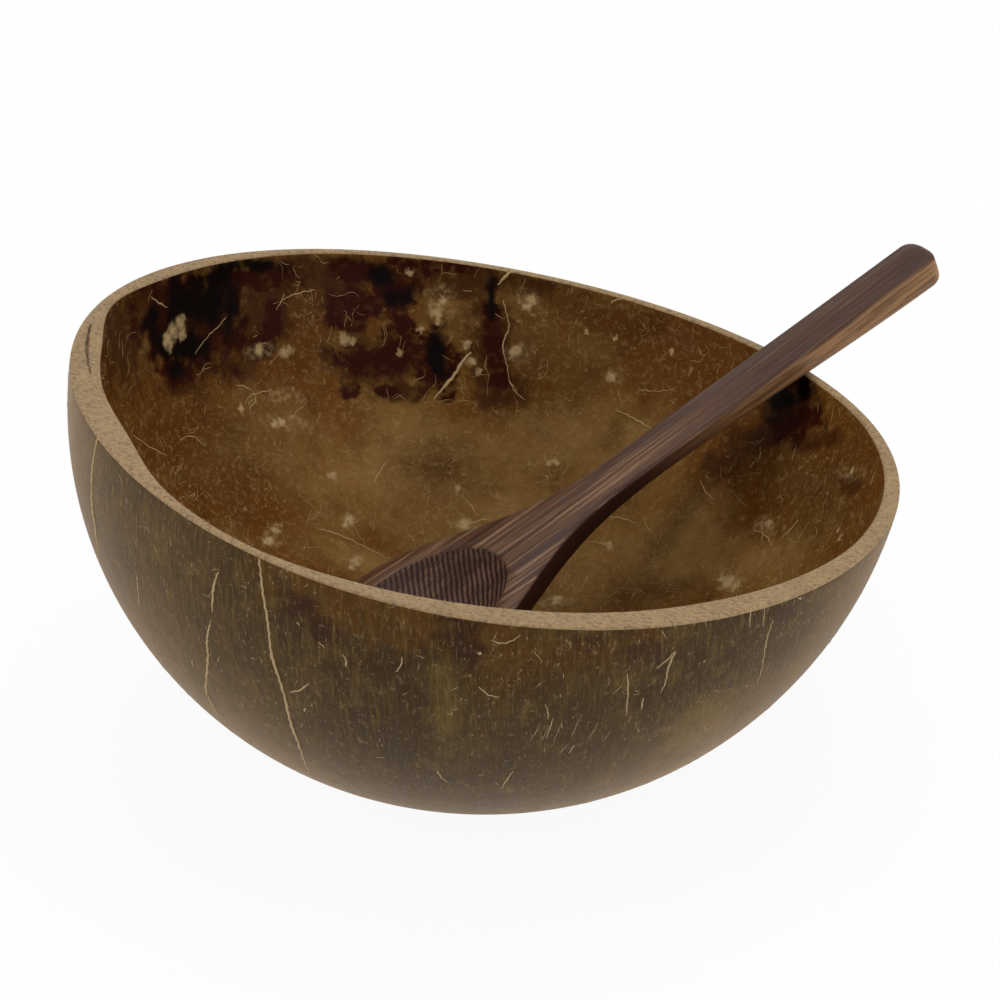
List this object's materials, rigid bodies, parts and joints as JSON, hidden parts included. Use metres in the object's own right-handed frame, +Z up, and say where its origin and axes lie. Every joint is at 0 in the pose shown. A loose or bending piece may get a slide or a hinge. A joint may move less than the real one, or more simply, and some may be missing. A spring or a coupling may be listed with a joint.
{
  "type": "coconut shell bowl",
  "caption": "Polished coconut shell bowl with a sloping cut rim and a small flat foot, with a slim wooden spoon that leans in it and lifts out.",
  "frame": {"origin": "middle of the sanded flat foot, on the surface that the bowl stands on", "axes": "+Z up, -Y towards the front where the rim is thick, +X towards the right, where the rim is low and the spoon's handle leans out"},
  "size_m": [0.1467, 0.1442, 0.0733],
  "materials": {
    "shell": "satin",
    "spoon_wood": "satin"
  },
  "bodies": {
    "bowl": {"shell": "shell"},
    "spoon": {"spoon": "spoon_wood"}
  },
  "joints": [
    {"name": "spoon_lift", "type": "slide", "parent": "bowl", "child": "spoon", "axis": [0, 0, 1], "range_m": [0, 0.09]}
  ]
}
